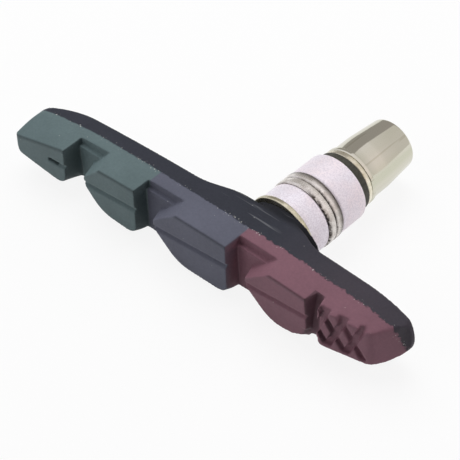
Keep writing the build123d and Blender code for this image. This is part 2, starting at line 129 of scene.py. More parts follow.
SOCKET_EDGE = 0.25
RIVET_DIAMETER = 4.0
COLLAR_THICKNESS = 1.0
STUD_DIAMETER = 6.0
STUD_TIP = 0.3
THREAD_PITCH = 1.0
THREAD_DEPTH = 0.55
THREAD_STEPS = 48          # a turn
THREAD_START = 1.0         # under the first washer
THREAD_END = 0.6           # before the stud's tip
THREAD_RUN_IN = 0.5        # turns
THREAD_SINK = 0.05         # of the ridge's foot into the core
RIDGE_FOOT = 0.46          # half width of the ridge, as a share of the pitch
RIDGE_CREST = 0.1          # the same at its crest

# Pad, in mm: braking face, upper flank and notch walls
FACE_Y = -10.62
FACE_SKIN = 0.1            # depth that counts as the face
FACE_FADE = 0.3            # depth that no longer does
UPPER_HEIGHT = 4.45
CROWN_X = -5.8
FLANK_RADIUS = 370.0
TOE_LENGTH = 10.5
TOE_DROP = 1.9
EDGE_LINE = 0.15           # width of the painted shade line along the face's upper edge
EDGE_FADE = 0.65           # width at which it has faded
FIRST_WALL_X = -33.0
SECOND_WALL_X = -18.65
THIRD_WALL_X = -0.85
NOTCH_BACK = -6.6          # behind this there is no notch
SHELF_TOP = 3.3            # above this the walls are steep already
WALL_RUNS = ((FIRST_WALL_X, 2.6), (SECOND_WALL_X, 1.6), (THIRD_WALL_X, 1.6))   # how far each foot runs on
WALL_REACH = 0.95          # share of that run in which the wall lies
WALL_KEPT = 0.2            # share of it which is left, for walls as steep as in the photograph
WALLS_END = 18.0           # painted shade on the recess walls lies before this
WALLS_GONE = 20.0
SLIT_SIDE = (10.0, 12.0)   # where the third notch's painted shade gives way to the slit's
SLIT_START = 13.8
SLIT_END = 15.9
SLIT_DEPTH = 2.4
SLIT_MOUTH = (0.2, 0.5)    # depths at which its painted shade starts and is full
SLIT_FADES = (0.2, 0.8)    # widths over which it fades at its start and its end

# Seam between the coloured rubber and the black back, in mm
SEAM_Y = -5.45
SEAM_SLOPE = 0.02
SEAM_RUN_LEFT = 30.0
SEAM_ARC_RADIUS = 90.0
SEAM_WAVE = 0.14
SEAM_RAGS = 0.12
SEAM_BLUR = 0.12
SEAM_EVEN_X = -20.0        # from here it grows rougher
SEAM_ROUGH_X = 10.0
NOSE_START = 24.5
NOSE_FULL = 26.5
NOSE_BLEED = 1.25          # red runs over the seam by this much at the lower side of the nose
BLEED_TOP = 2.7
BLEED_LOW = -1.2

# Colours along the pad and marks on it, in mm
GREY_START = SECOND_WALL_X + 0.2
RED_START = THIRD_WALL_X - 0.1
COLOUR_BLEND = 0.2
BLACK_END = 2.0            # from here the black grows paler
PALE_START = 16.0
SHADOW_START_Y = -1.5             # from here the first washer's shadow is painted on the back, up to that washer
SHADOW_FULL_Y = -0.7
SCRAPED = (                # spot with scrapes on the hump: axis, where it starts and where it is full
    (0, -9.0, -6.0),
    (0, 3.5, 1.0),
    (1, -4.4, -3.6),
    (2, 2.5, 3.6),
)
SPECKS = ((0.55, 0.2, 0.5), (0.35, 0.12, 0.5))   # pale dots along the seam: spacing, size and share
STRAYS = (0.9, 0.16, 0.1)  # the same for dots elsewhere
SPECK_REACH = 0.5          # of the dots, from the seam
SPECK_CORE = 0.1           # where they are clearest
GRIME_AND_SHADE_SIDE = (0.5, 2.5)    # where dirt and painted shade on the stud's pieces start and are full, along the pad
GRIME_AND_SHADE_CORE = 0.3           # share of its reach in which it is full

# Shares of painted shade and of pale dots in the rubber's colour
EDGE_SHARE = 0.4
NOTCH_SHARE = 0.48
RED_NOTCH_SHARE = 0.17
SLIT_SHARE = 0.5
WASHER_SHADOW_SHARE = 0.6
SPECK_SHARE = 0.85
STRAY_SHARE = 0.45

# Melting of the CAD rubber into one rounded mesh, in mm
JOIN_WELD = 0.001
CUT_WELD = 0.0005
VOXEL = 0.12
ROUNDING_STEPS = 8
SMOOTHING = 0.5            # strength of one step
GRID_TURN = (25, 35, 15)   # degrees by which the voxels' grid is turned, so that no long edge runs along it
KEPT_SHARE = 0.3           # share of the triangles that is kept
EASED = (                  # boxes where the smoothing is longer: two corners, and its steps
    ((10.4, -11.0, -6.0), (17.0, -6.2, -1.9), 8),    # slit's lower end, more towards its middle
    ((11.4, -11.0, -6.0), (16.8, -6.9, -1.9), 14),
    ((12.3, -11.0, -6.0), (16.6, -7.6, -1.9), 60),
    ((5.2, -2.2, -6.0), (8.2, 0.2, 6.0), 14),        # boss
    ((16.6, -11.0, -6.0), (23.2, -8.0, 6.0), 18),    # hatch
    ((23.0, -11.0, -6.0), (28.1, -5.4, 6.0), 20),    # nose, more in its upper half
    ((23.0, -11.0, 0.8), (28.1, -5.4, 6.0), 80),
)


def linear(red, green, blue):
    """Linear colour of an sRGB one given from 0 to 255."""
    def one(value):
        value /= 255
        return value / 12.92 if value <= 0.04045 else ((value + 0.055) / 1.055) ** 2.4
    return (one(red), one(green), one(blue), 1.0)


GREEN = linear(95, 111, 113)
GREY = linear(94, 96, 109)
RED = linear(125, 90, 101)
BLACK = linear(48, 50, 58)
PALE_BLACK = linear(62, 58, 65)
# painted shade along the face's upper edge and in the recesses
EDGE_SHADE = linear(22, 24, 26)
RECESS_SHADE = linear(24, 28, 30)
# painted shadow of the first washer on the boss
WASHER_SHADOW = linear(20, 21, 21)
SCRAPE = linear(128, 130, 134)
SPECK = linear(205, 205, 200)
STRAY = linear(190, 190, 186)


class Nodes:
    """A node tree with short calls for adding to it."""

    def __init__(self, tree, place):
        self.tree = tree
        self.place = tree.nodes.new("ShaderNodeTexCoord").outputs[place]

    def node(self, kind, inputs=(), **settings):
        """New node; inputs is a dict of socket name or number to value or output."""
        made = self.tree.nodes.new("ShaderNode" + kind)
        for key, value in settings.items():
            setattr(made, key, value)
        for key, value in dict(inputs).items():
            self.put(made.inputs[key], value)
        return made

    def put(self, socket, value):
        """Links an output to a socket, or sets its value."""
        if isinstance(value, bpy.types.NodeSocket):
            self.tree.links.new(value, socket)
        else:
            socket.default_value = value

    def math(self, operation, *values):
        """Result of a sum on numbers or outputs."""
        made = self.node("Math", operation=operation)
        for index, value in enumerate(values):
            self.put(made.inputs[index], value)
        return made.outputs[0]

    def noise(self, scale, detail=2.0, roughness=0.5, place=None):
        """Cloudy noise, with its scale as a count a metre."""
        inputs = {"Vector": place or self.place, "Scale": scale, "Detail": detail, "Roughness": roughness}
        return self.node("TexNoise", inputs).outputs["Fac"]

    def stretched(self, x, y, z):
        """Coordinates scaled by three factors, for grain that runs one way."""
        return self.node("Mapping", {"Vector": self.place, "Scale": (x, y, z)}).outputs[0]

    def ramp(self, value, low, high, start=0.0, end=1.0):
        """Value brought from one range to another, and kept inside it."""
        inputs = {"Value": value, "From Min": low, "From Max": high, "To Min": start, "To Max": end}
        return self.node("MapRange", inputs).outputs[0]

    def mix(self, share, first, second, blend="MIX"):
        """Colour between two; a Mix node's colours are its inputs 6 and 7 and its output 2."""
        made = self.node("Mix", data_type="RGBA", blend_type=blend)
        self.put(made.inputs[0], share)
        self.put(made.inputs[6], first)
        self.put(made.inputs[7], second)
        return made.outputs[2]

    def grey(self, value):
        """Colour of equal parts from a number."""
        return self.node("CombineColor", {0: value, 1: value, 2: value}).outputs[0]

    def xyz(self):
        """The three coordinates."""
        return self.node("SeparateXYZ", {0: self.place}).outputs


class Shader(Nodes):
    """A material with its main shader."""

    def __init__(self, name):
        self.material = bpy.data.materials.new(name)
        self.material.use_nodes = True
        super().__init__(self.material.node_tree, "Object")
        self.main = self.tree.nodes["Principled BSDF"]

    def set(self, **values):
        """Sets or links sockets of the main shader, spaces written as underscores."""
        for key, value in values.items():
            self.put(self.main.inputs[key.replace("_", " ")], value)

    def bump(self, height, strength, distance):
        """Fine relief, with its distance in mm."""
        inputs = {"Height": height, "Strength": strength, "Distance": distance * MM}
        self.set(Normal=self.node("Bump", inputs).outputs[0])


def behind_seam(shader):
    """Distance behind the wavy seam of the black back; in front of it the number is negative."""
    x, y, z = shader.xyz()
    past = shader.math("MAXIMUM", shader.math("MULTIPLY_ADD", x, -1.0, -SEAM_RUN_LEFT * MM), 0.0)
    drop = shader.math("DIVIDE", shader.math("MULTIPLY", past, past), 2 * SEAM_ARC_RADIUS * MM)
    seam = shader.math("SUBTRACT", shader.math("MULTIPLY_ADD", x, -SEAM_SLOPE, SEAM_Y * MM), drop)
    waves = shader.ramp(shader.noise(150.0, 2.0), 0.3, 0.7, -SEAM_WAVE * MM, SEAM_WAVE * MM)
    rags = shader.ramp(shader.noise(1500.0, 3.0, 0.6), 0.3, 0.7, -SEAM_RAGS * MM, SEAM_RAGS * MM)
    along = shader.ramp(x, NOSE_START * MM, NOSE_FULL * MM, 0.0, NOSE_BLEED * MM)
    bleed = shader.math("MULTIPLY", along, shader.ramp(z, BLEED_TOP * MM, BLEED_LOW * MM))
    rougher = shader.ramp(x, SEAM_EVEN_X * MM, SEAM_ROUGH_X * MM, 0.6, 2.0)
    ragged = shader.math("MULTIPLY", shader.math("ADD", waves, rags), rougher)
    for part in (ragged, bleed):
        seam = shader.math("ADD", seam, part)
    return shader.math("SUBTRACT", y, seam)


def edge_line(shader):
    """1 along the upper edge of the braking face, on the face's side, where a line of shade is painted."""
    x, y, z = shader.xyz()
    off = shader.math("SUBTRACT", x, CROWN_X * MM)
    arc_fall = shader.math("DIVIDE", shader.math("MULTIPLY", off, off), 2 * FLANK_RADIUS * MM)
    toe = shader.ramp(x, FIRST_WALL_X * MM, (FIRST_WALL_X - TOE_LENGTH) * MM, 0.0, TOE_DROP * MM)
    edge = shader.math("SUBTRACT", UPPER_HEIGHT * MM, shader.math("ADD", arc_fall, toe))
    near = shader.ramp(shader.math("SUBTRACT", edge, z), EDGE_LINE * MM, EDGE_FADE * MM, 1.0, 0.0)
    front = shader.ramp(y, (FACE_Y + FACE_FADE) * MM, (FACE_Y + FACE_SKIN) * MM)
    return shader.math("MULTIPLY", near, front)


def compounds(shader):
    """Colour of the rubber in front of the seam, by its place along the pad."""
    x = shader.xyz()[0]
    second = shader.ramp(x, GREY_START * MM, (GREY_START + COLOUR_BLEND) * MM)
    third = shader.ramp(x, RED_START * MM, (RED_START + COLOUR_BLEND) * MM)
    return shader.mix(third, shader.mix(second, GREEN, GREY), RED)


def black(shader):
    """Colour of the rubber behind the seam, paler towards the red end."""
    x = shader.xyz()[0]
    return shader.mix(shader.ramp(x, BLACK_END * MM, PALE_START * MM), BLACK, PALE_BLACK)


def mottle(shader):
    """Uneven tone of the moulded rubber."""
    broad = shader.ramp(shader.noise(160.0, 3.0), 0.3, 0.7, 0.92, 1.08)
    fine = shader.ramp(shader.noise(2600.0, 3.0, 0.6), 0.25, 0.75, 0.92, 1.08)
    return shader.grey(shader.math("MULTIPLY", broad, fine))


def dots(shader, spacing, size, share):
    """1 in small round dots, a share of a scattered set."""
    cells = shader.node("TexVoronoi", {"Vector": shader.place, "Scale": 1 / (spacing * MM)}).outputs
    round_dot = shader.ramp(cells["Distance"], 0.6 * size / spacing, 0.4 * size / spacing)
    chosen = shader.math("LESS_THAN", shader.node("SeparateColor", {0: cells["Color"]}).outputs[0], share)
    return shader.math("MULTIPLY", round_dot, chosen)


def recess_walls(shader):
    """1 on the walls of the notches and of the slit, which face the red end; shade is painted there."""
    x = shader.xyz()[0]
    coordinates = shader.node("TexCoord").outputs["Normal"]
    facing = shader.node("SeparateXYZ", {0: coordinates}).outputs[0]
    inside = shader.ramp(x, WALLS_GONE * MM, WALLS_END * MM)
    return shader.math("MULTIPLY", shader.ramp(facing, 0.3, 0.75), inside)


def slit_floor(shader):
    """1 in the slit, where shade is painted."""
    x, y, _ = shader.xyz()
    start = shader.ramp(x, SLIT_START * MM, (SLIT_START + SLIT_FADES[0]) * MM)
    end = shader.ramp(x, SLIT_END * MM, (SLIT_END - SLIT_FADES[1]) * MM)
    deep = shader.ramp(y, (FACE_Y + SLIT_MOUTH[0]) * MM, (FACE_Y + SLIT_MOUTH[1]) * MM)
    floored = shader.math("LESS_THAN", y, (FACE_Y + SLIT_DEPTH) * MM)
    across = shader.math("MULTIPLY", start, end)
    return shader.math("MULTIPLY", across, shader.math("MULTIPLY", deep, floored))


def scratches(shader):
    """Thin pale scrapes along the hump of the back."""
    places = shader.xyz()
    lines = shader.noise(1.0, 2.0, 0.5, shader.stretched(110.0, 2600.0, 2600.0))
    marks = shader.ramp(lines, 0.6, 0.68, 0.0, 0.45)
    for axis, start, full in SCRAPED:
        marks = shader.math("MULTIPLY", marks, shader.ramp(places[axis], start * MM, full * MM))
    return marks


def shadowed_scraped_back(shader, body):
    """Colour of the back with the first washer's shadow painted beside it and scrapes on the hump."""
    y = shader.xyz()[1]
    # painted shadow of the first washer on the back
    body = shader.mix(shader.ramp(y, SHADOW_START_Y * MM, SHADOW_FULL_Y * MM, 0.0, WASHER_SHADOW_SHARE), body, WASHER_SHADOW)
    return shader.mix(scratches(shader), body, SCRAPE)


def shaded_front(shader, body):
    """Colour of the front with painted shade: a line along the face's upper edge, and the recesses darker."""
    x = shader.xyz()[0]
    body = shader.mix(shader.math("MULTIPLY", edge_line(shader), EDGE_SHARE), body, EDGE_SHADE)
    dark = shader.math("MAXIMUM", recess_walls(shader), slit_floor(shader))
    notches = shader.ramp(x, (RED_START - 0.5) * MM, RED_START * MM, NOTCH_SHARE, RED_NOTCH_SHARE)
    slit = shader.ramp(x, SLIT_SIDE[0] * MM, SLIT_SIDE[1] * MM, 0.0, SLIT_SHARE)
    share = shader.math("MAXIMUM", notches, slit)
    return shader.mix(shader.math("MULTIPLY", dark, share), body, RECESS_SHADE)


def flecked(shader, body, behind):
    """Colour with pale dots along the seam and a few elsewhere."""
    off = shader.math("ABSOLUTE", behind)
    close = shader.ramp(off, SPECK_REACH * MM, SPECK_CORE * MM, 0.0, SPECK_SHARE)
    close = shader.math("MULTIPLY", close, shader.ramp(shader.noise(330.0, 1.0), 0.42, 0.56))
    for spacing, size, share in SPECKS:
        specks = shader.math("MULTIPLY", dots(shader, spacing, size, share), close)
        body = shader.mix(specks, body, SPECK)
    return shader.mix(shader.math("MULTIPLY", dots(shader, *STRAYS), STRAY_SHARE), body, STRAY)


def rubber(name, back=False):
    """Matte moulded rubber, coloured in front of the seam and black behind it, with pale flecks."""
    shader = Shader(name)
    behind = behind_seam(shader)
    body = shader.mix(shader.ramp(behind, -SEAM_BLUR * MM, SEAM_BLUR * MM), compounds(shader), black(shader))
    body = shader.mix(1.0, body, mottle(shader), "MULTIPLY")
    body = shadowed_scraped_back(shader, body) if back else shaded_front(shader, body)
    body = flecked(shader, body, behind)
    grain = shader.noise(3800.0, 4.0, 0.65)
    shader.set(Base_Color=body, Roughness=shader.ramp(grain, 0.3, 0.7, 0.5, 0.66), Specular_IOR_Level=0.2)
    shader.bump(grain, 0.25, 0.03)
    return shader.material


def satin_metal():
    """Blasted pearly metal with a fine sparkling grain."""
    shader = Shader("satin_metal")
    grain = shader.noise(4600.0, 3.0, 0.7)
    cloud = shader.noise(260.0, 2.0)
    colour = shader.mix(shader.ramp(cloud, 0.35, 0.65), linear(250, 245, 253), linear(252, 240, 245))
    colour = shader.mix(shader.ramp(grain, 0.42, 0.6, 0.0, 0.7), colour, linear(222, 213, 223))
    shader.set(Base_Color=colour, Metallic=0.3, Roughness=shader.ramp(grain, 0.3, 0.7, 0.36, 0.55))
    shader.bump(grain, 0.7, 0.05)
    return shader.material


def joint_grime_and_shade(shader, lines):
    """Dark mottled dirt and painted shade in joints across the stud.

    Each line has a place along the stud, a reach in mm, a strength, and the share of it that lies all round.
    The rest lies in spots, most of them on the side towards the red end, where the shade is painted.
    """
    x, y, _ = shader.xyz()
    spots = shader.ramp(shader.noise(1900.0, 4.0, 0.7), 0.38, 0.56)
    side = shader.ramp(x, GRIME_AND_SHADE_SIDE[0] * MM, GRIME_AND_SHADE_SIDE[1] * MM, 0.15, 1.0)
    total = 0.0
    for place, reach, strength, everywhere in lines:
        off = shader.math("ABSOLUTE", shader.math("SUBTRACT", y, place * MM))
        near = shader.ramp(off, reach * GRIME_AND_SHADE_CORE * MM, reach * MM, strength, 0.0)
        for part in (spots, side):
            near = shader.math("MULTIPLY", near, shader.math("MAXIMUM", part, everywhere))
        total = shader.math("MAXIMUM", total, near)
    return total


def cup_nickel(lines):
    """Plate of the cups: mottled, with dirt and painted shade in the joints."""
    shader = Shader("cup_nickel")
    specks = shader.noise(2100.0, 4.0, 0.7)
    cloud = shader.noise(700.0, 3.0)
    colour = shader.mix(shader.ramp(cloud, 0.35, 0.65), linear(236, 231, 226), linear(206, 199, 192))
    colour = shader.mix(shader.ramp(specks, 0.55, 0.7, 0.0, 0.55), colour, linear(128, 114, 102))
    # dirt and painted shade in the joints, most on the side towards the red end
    colour = shader.mix(joint_grime_and_shade(shader, lines), colour, linear(52, 42, 36))
    shader.set(Base_Color=colour, Metallic=0.7, Roughness=shader.ramp(specks, 0.3, 0.7, 0.16, 0.34))
    shader.bump(specks, 0.35, 0.03)
    return shader.material


def nut_nickel():
    """Bright plate of the nut with fine lengthwise lines."""
    shader = Shader("nut_nickel")
    streaks = shader.noise(1.0, 2.0, 0.5, shader.stretched(420.0, 16.0, 420.0))
    lines = shader.noise(1.0, 1.0, 0.5, shader.stretched(1500.0, 22.0, 1500.0))
    specks = shader.noise(2400.0, 4.0, 0.7)
    colour = shader.mix(shader.ramp(streaks, 0.3, 0.7), linear(215, 211, 198), linear(204, 203, 185))
    colour = shader.mix(shader.ramp(lines, 0.64, 0.68, 0.0, 0.22), colour, linear(150, 142, 116))
    colour = shader.mix(shader.ramp(specks, 0.68, 0.78, 0.0, 0.25), colour, linear(128, 116, 98))
    shader.set(Base_Color=colour, Metallic=1.0, Roughness=shader.ramp(streaks, 0.3, 0.7, 0.07, 0.13))
    shader.bump(specks, 0.05, 0.01)
    return shader.material


def zinc(name, pale, dull, lines=()):
    """Yellowish zinc plate, mottled between a pale and a dull colour, with dirt and painted shade in the joints
    given.
    """
    shader = Shader(name)
    cloud = shader.noise(800.0, 4.0, 0.6)
    colour = shader.mix(shader.ramp(cloud, 0.35, 0.65), pale, dull)
    if lines:
        # dirt and painted shade in the joints, most on the side towards the red end
        colour = shader.mix(joint_grime_and_shade(shader, lines), colour, linear(64, 56, 40))
    shader.set(Base_Color=colour, Metallic=1.0, Roughness=shader.ramp(cloud, 0.3, 0.7, 0.18, 0.36))
    shader.bump(shader.noise(3600.0, 3.0), 0.15, 0.012)
    return shader.material


def dark_spacer():
    """Matte blackened metal."""
    shader = Shader("dark_spacer")
    grain = shader.noise(2600.0, 4.0, 0.6)
    colour = shader.mix(shader.ramp(grain, 0.3, 0.7), linear(70, 69, 60), linear(48, 47, 41))
    shader.set(Base_Color=colour, Roughness=shader.ramp(grain, 0.3, 0.7, 0.5, 0.7), Specular_IOR_Level=0.4)
    shader.bump(grain, 0.2, 0.015)
    return shader.material


def plain_steel():
    """Rolled steel of the thread and the plate."""
    shader = Shader("plain_steel")
    grain = shader.noise(1.0, 3.0, 0.6, shader.stretched(1600.0, 300.0, 1600.0))
    colour = shader.mix(shader.ramp(grain, 0.35, 0.65), linear(190, 186, 178), linear(158, 153, 145))
    shader.set(Base_Color=colour, Metallic=1.0, Roughness=shader.ramp(grain, 0.3, 0.7, 0.24, 0.4))
    return shader.material


def rounded(points, radius, steps=CORNER_STEPS):
    """Closed profile with its corners rounded, as far as the sides allow."""
    result = []
    count = len(points)
    for index, point in enumerate(points):
        here = Vector(point)
        before = Vector(points[index - 1]) - here
        after = Vector(points[(index + 1) % count]) - here
        reach = min(radius, before.length * SIDE_SHARE, after.length * SIDE_SHARE)
        start = here + before.normalized() * reach
        end = here + after.normalized() * reach
        for step in range(steps + 1):
            t = step / steps
            result.append(start * (1 - t) ** 2 + here * 2 * t * (1 - t) + end * t ** 2)
    return result


def winding(loops):
    """Twice the signed area of a closed profile."""
    flat = [(radius(0.0) if callable(radius) else radius, place) for radius, place in loops]
    return sum(a[0] * b[1] - b[0] * a[1] for a, b in zip(flat, flat[1:] + flat[:1]))


def turned(name, loops, body, slot, material, *nodes):
    """Piece turned about the stud's axis from a closed profile of (radius, place) or (function, place)."""
    if winding(loops) < 0:
        loops = loops[::-1]
    vertices = []
    for step in range(SEGMENTS):
        angle = 2 * math.pi * step / SEGMENTS
        for radius, place in loops:
            reach = radius(angle) if callable(radius) else radius
            vertices.append((reach * math.cos(angle) * MM, place * MM, reach * math.sin(angle) * MM))
    count = len(loops)
    faces = []
    for step in range(SEGMENTS):
        near, far = step * count, (step + 1) % SEGMENTS * count
        for index in range(count):
            after = (index + 1) % count
            faces.append((near + index, near + after, far + after, far + index))
    mesh = bpy.data.meshes.new(name)
    mesh.from_pydata(vertices, [], faces)
    mesh.update()
    return dress(bpy.data.objects.new(name, mesh), body, slot, material, *nodes)


def dress(piece, body, slot, material, *nodes):
    """Links a new piece, gives it its material and body, and lets it stand for its nodes."""
    bpy.context.scene.collection.objects.link(piece)
    piece.data.materials.append(material)
    piece.data.shade_smooth()
    piece.data.set_sharp_from_angle(angle=math.radians(SHARP_ANGLE))
    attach(piece, body)
    if nodes:
        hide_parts(*nodes)
    return piece


def span(node):
    """Ends along the stud and the radius of a turned node, in mm."""
    low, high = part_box(node)
    return low.y / MM, high.y / MM, high.z / MM


def arc(start, end, sphere, centre, side):
    """Points of a spherical face between two radii."""
    radii = [start + (end - start) * step / ARC_STEPS for step in range(ARC_STEPS + 1)]
    return [(r, centre + side * math.sqrt(sphere ** 2 - r ** 2)) for r in radii]


def flat_washer(node, body, slot, material):
    """Plain washer with eased edges."""
    low, high, outer = span(node)
    bore = WASHER_BORE / 2
    profile = [(bore, low), (outer, low), (outer, high), (bore, high)]
    turned(node + "_turned", rounded(profile, WASHER_EDGE), body, slot, material, node)


def convex_washer(node, side, body, material):
    """Washer with a spherical face on one side, 1 towards the nut and -1 towards the pad."""
    low, high, outer = span(node)
    bore = CONVEX_BORE / 2
    base, top = (low, high) if side > 0 else (high, low)
    centre = top - side * math.sqrt(SPHERE_RADIUS ** 2 - bore ** 2)
    edge = centre + side * math.sqrt(SPHERE_RADIUS ** 2 - outer ** 2)
    inward = (outer - DOME_LEAN[0], edge + side * DOME_LEAN[1])
    corners = rounded([(bore, base), (outer, base), (outer, edge), inward], CONVEX_EDGE)
    dome = arc(outer - DOME_START, bore + BORE_EDGE, SPHERE_RADIUS, centre, side)
    profile = corners[:3 * CORNER_POINTS - 1] + dome + [(bore, top - side * BORE_EDGE)]
    turned(node + "_turned", profile, body, "satin_metal", material, node)


def cup_washer(node, side, body, material):
    """Washer with a hollow spherical seat, facing the pad where side is 1 and the nut where it is -1."""
    low, high, outer = span(node)
    bore = CUP_BORE / 2
    rim, flat = (low, high) if side > 0 else (high, low)
    sphere = SPHERE_RADIUS + SEAT_GAP
    centre = rim - side * math.sqrt(sphere ** 2 - (outer - CUP_RIM) ** 2)
    top = centre + side * math.sqrt(sphere ** 2 - bore ** 2)
    corners = rounded([(bore, flat), (outer, flat), (outer, rim), (bore, rim)], CUP_EDGE)
    seat = arc(outer - CUP_RIM - CUP_RIM_EDGE, bore, sphere, centre, side)
    profile = corners[:3 * CORNER_POINTS - 1] + seat + [(bore, (top + flat) / 2)]
    turned(node + "_turned", profile, body, "bright_nickel", material, node)


def hexagon(angle):
    """Distance from the socket's axis to its wall."""
    sector = math.pi / 3
    return SOCKET_FLATS / 2 / math.cos((angle + sector / 2) % sector - sector / 2)


def wide_hexagon(angle):
    """The same at the socket's eased mouth."""
    return hexagon(angle) + SOCKET_EDGE


def barrel_nut(material):
    """Flanged nut: a straight length, a taper, and a hexagon socket in its far end."""
    low, high, flange = span("barrel_nut")
    bore, barrel, tip = NUT_BORE / 2, BARREL_DIAMETER / 2, NUT_END_DIAMETER / 2
    top = low + FLANGE_THICKNESS
    floor_place = high - SOCKET_DEPTH
    foot = [(bore, low), (flange, low), (flange, top), (barrel, top), (barrel, top + FLANGE_FOOT)]
    outside = rounded(foot, NUT_EDGE)[CORNER_POINTS:4 * CORNER_POINTS]
    straight = [(barrel, top + BARREL_STRAIGHT * share) for share in BARREL_RINGS]
    taper = [(barrel, top + BARREL_STRAIGHT), (tip, high), (bore, high)]
    end = rounded(taper, NUT_END_RADIUS, END_STEPS)[END_POINTS:2 * END_POINTS]
    mouth = [(wide_hexagon, high), (hexagon, high - SOCKET_EDGE)]
    socket = mouth + [(hexagon, floor_place), (bore, floor_place)]
    profile = [(bore, low)] + outside + straight + end + socket
    turned("barrel_nut_turned", profile, "nut", "bright_nickel", material, "barrel_nut")


def threaded_stud(material):
    """Stud with a rolled thread from the collar to its tip."""
    low, high, collar = span("threaded_stud")
    rivet, outer = RIVET_DIAMETER / 2, STUD_DIAMETER / 2
    core = outer - THREAD_DEPTH
    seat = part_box("pad_side_flat_washer")[0].y / MM
    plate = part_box("backing_plate")[1].y / MM
    shoulder = plate + COLLAR_THICKNESS
    blank = [(AXIS_RADIUS, low), (rivet, low), (rivet, plate), (collar, plate), (collar, shoulder)]
    blank += [(core, shoulder), (core, high - STUD_TIP), (core - STUD_TIP, high), (AXIS_RADIUS, high)]
    turned("stud_core", blank, "pad", "plain_steel", material, "threaded_stud")
    helix("stud_thread", seat - THREAD_START, high - THREAD_END, core, outer, material)


def helix(name, start, end, core, outer, material):
    """Thread ridge wound round the core, running in and out at both ends."""
    count = round((end - start) / THREAD_PITCH * THREAD_STEPS)
    run_in = THREAD_STEPS * THREAD_RUN_IN
    foot = core - THREAD_SINK
    vertices = []
    for index in range(count + 1):
        angle = -2 * math.pi * index / THREAD_STEPS
        middle = start + THREAD_PITCH * index / THREAD_STEPS
        crest = core + (outer - core) * min(1.0, index / run_in, (count - index) / run_in)
        ridge = (foot, -RIDGE_FOOT), (crest, -RIDGE_CREST), (crest, RIDGE_CREST), (foot, RIDGE_FOOT)
        for radius, shift in ridge:
            place = middle + shift * THREAD_PITCH
            vertices.append((radius * math.cos(angle) * MM, place * MM, radius * math.sin(angle) * MM))
    faces = []
    for index in range(count):
        near, far = index * 4, (index + 1) * 4
        for corner in range(4):
            after = (corner + 1) % 4
            faces.append((near + corner, far + corner, far + after, near + after))
    faces += [(0, 1, 2, 3), tuple(count * 4 + corner for corner in (3, 2, 1, 0))]
    mesh = bpy.data.meshes.new(name)
    mesh.from_pydata(vertices, [], faces)
    mesh.update()
    dress(bpy.data.objects.new(name, mesh), "pad", "plain_steel", material)


def seam_place(x):
    """Place of the seam along the stud, at a place along the pad, both in metres."""
    past = max(0.0, -x - SEAM_RUN_LEFT * MM)
    return SEAM_Y * MM - SEAM_SLOPE * x - past ** 2 / (2 * SEAM_ARC_RADIUS * MM)


def steepened(joined):
    """Pulls the feet of the notch walls back towards the walls' front edges."""
    for vertex in joined.verts:
        x, y, z = vertex.co / MM
        if y > NOTCH_BACK or z > SHELF_TOP:
            continue
        for wall, run in WALL_RUNS:
            if wall < x < wall + WALL_REACH * run:
                vertex.co.x = (wall + (x - wall) * WALL_KEPT) * MM


def welded(names):
    """One mesh of several touching CAD nodes, with steep notch walls."""
    joined = bmesh.new()
    for name in names:
        joined.from_mesh(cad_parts[name].data)
    bmesh.ops.remove_doubles(joined, verts=joined.verts, dist=JOIN_WELD * MM)
    steepened(joined)
    mesh = bpy.data.meshes.new("melted")
    joined.to_mesh(mesh)
    joined.free()
    return mesh


def remeshed(mesh):
    """The outer skin of a mesh in even small triangles, smoothed and then thinned out."""
    lump = bpy.data.objects.new("melted", mesh)
    bpy.context.scene.collection.objects.link(lump)
    remesh = lump.modifiers.new("remesh", "REMESH")
    remesh.mode = "VOXEL"
    remesh.voxel_size = VOXEL * MM
    smooth = lump.modifiers.new("smooth", "SMOOTH")
    smooth.factor = SMOOTHING
    smooth.iterations = ROUNDING_STEPS
    lighten = lump.modifiers.new("lighten", "DECIMATE")
    lighten.ratio = KEPT_SHARE
    view = bpy.context.evaluated_depsgraph_get()
    result = bpy.data.meshes.new_from_object(lump.evaluated_get(view))
    bpy.data.objects.remove(lump)
    return result


def melted(names):
    """One mesh of several touching CAD nodes, with its edges rounded."""
    mesh = welded(names)
    turn = Euler([math.radians(angle) for angle in GRID_TURN]).to_matrix().to_4x4()
    mesh.transform(turn)
    result = remeshed(mesh)
    result.transform(turn.inverted())
    piece = bmesh.new()
    piece.from_mesh(result)
    without_crumbs(piece)
    eased(piece)
    piece.to_mesh(result)
    piece.free()
    return result


def eased(piece):
    """Smooths the softer corners of the pad."""
    axes = {"use_axis_" + axis: True for axis in "xyz"}
    for low, high, steps in EASED:
        inside = [v for v in piece.verts if all(a * MM < c < b * MM for a, c, b in zip(low, v.co, high))]
        for _ in range(steps):
            bmesh.ops.smooth_vert(piece, verts=inside, factor=SMOOTHING, **axes)


def without_crumbs(piece):
    """Takes away loose bits that the melting leaves beside the pad itself."""
    left = set(piece.verts)
    islands = []
    while left:
        island = {left.pop()}
        border = list(island)
        while border:
            vertex = border.pop()
            fresh = {edge.other_vert(vertex) for edge in vertex.link_edges} - island
            island |= fresh
            border += fresh
        left -= island
        islands.append(island)
    largest = max(islands, key=len)
    crumbs = [vertex for vertex in piece.verts if vertex not in largest]
    bmesh.ops.delete(piece, geom=crumbs, context="VERTS")


def cut(piece, place, outward):
    """Cuts a closed mesh at a plane, takes away what lies outside and closes the cut."""
    geometry = list(piece.verts) + list(piece.edges) + list(piece.faces)
    bmesh.ops.bisect_plane(piece, geom=geometry, plane_co=place, plane_no=outward, clear_outer=True)
    closed(piece)


def closed(piece):
    """Fills every open rim of a mesh with triangles."""
    rim = [edge for edge in piece.edges if edge.is_boundary]
    filled = bmesh.ops.holes_fill(piece, edges=rim, sides=0)["faces"]
    bmesh.ops.triangulate(piece, faces=filled)


